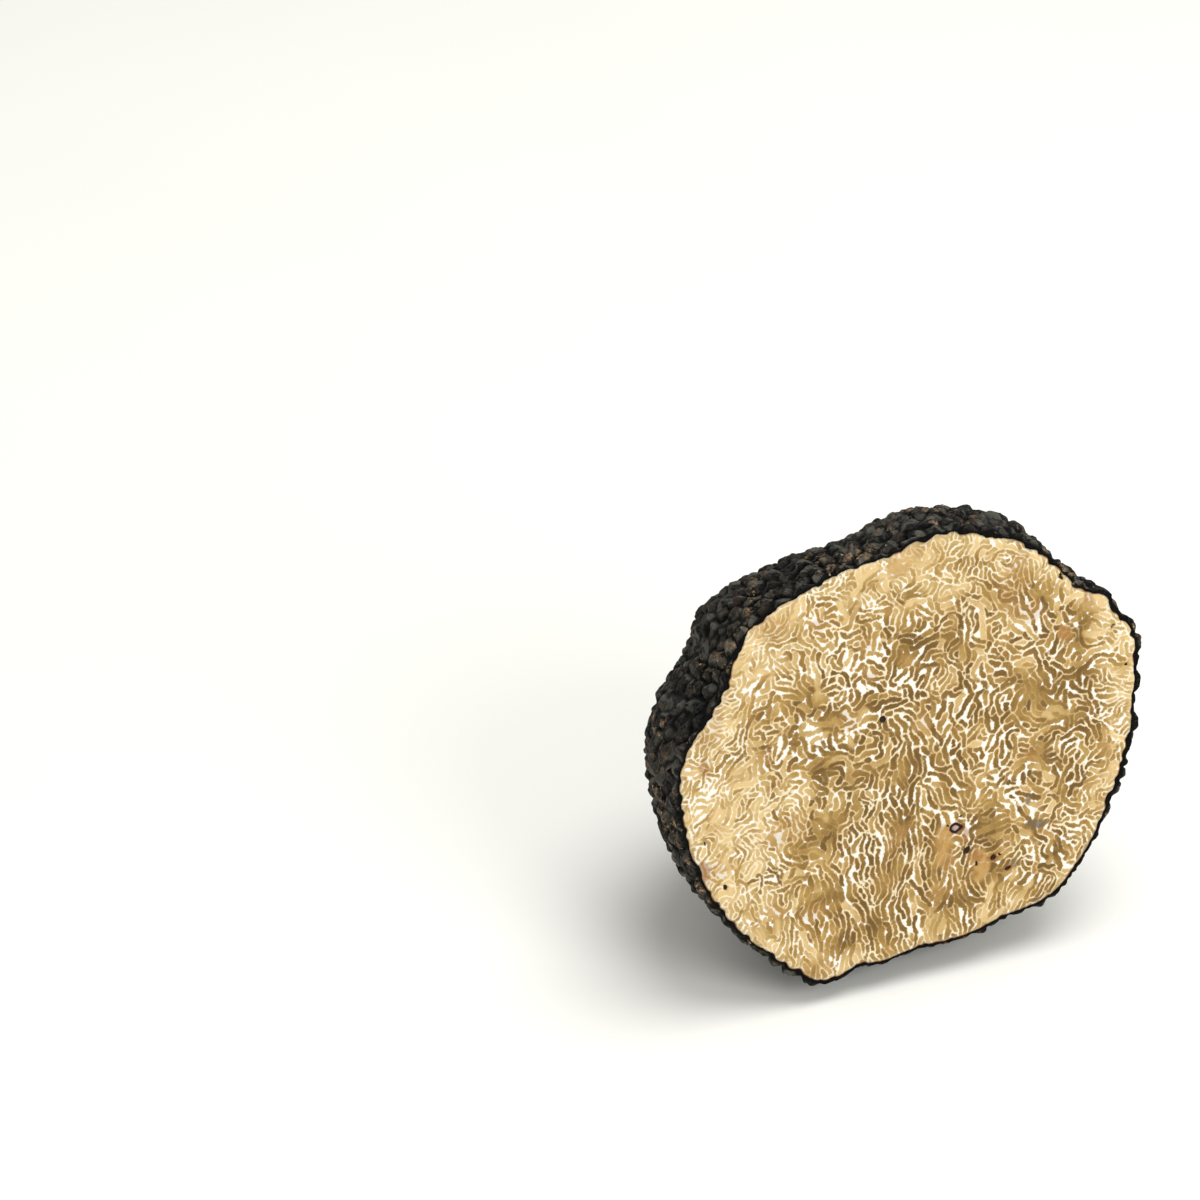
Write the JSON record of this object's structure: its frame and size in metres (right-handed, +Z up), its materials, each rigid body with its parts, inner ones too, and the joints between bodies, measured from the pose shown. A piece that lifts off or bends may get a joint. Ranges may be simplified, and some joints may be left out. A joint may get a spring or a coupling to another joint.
{
  "type": "summer truffle half",
  "caption": "Half of a summer truffle, cut through the middle: a thin dark rind of low pyramid warts around pale marbled flesh, resting on a small flat spot.",
  "frame": {"origin": "middle of the small flat spot on the underside that the half rests on", "axes": "+Z up, the cut face looks along -Y and leans back 15 degrees, +X to the right as seen from the cut face"},
  "size_m": [0.0543, 0.0326, 0.0489],
  "materials": {
    "rind": "matt, near black with a faint grey-green sheen on the warts and brown soil on their crests",
    "flesh": "moist satin, olive tan marbled with thin cream veins"
  },
  "bodies": {
    "root": {"rind": "rind", "flesh": "flesh"}
  },
  "joints": []
}
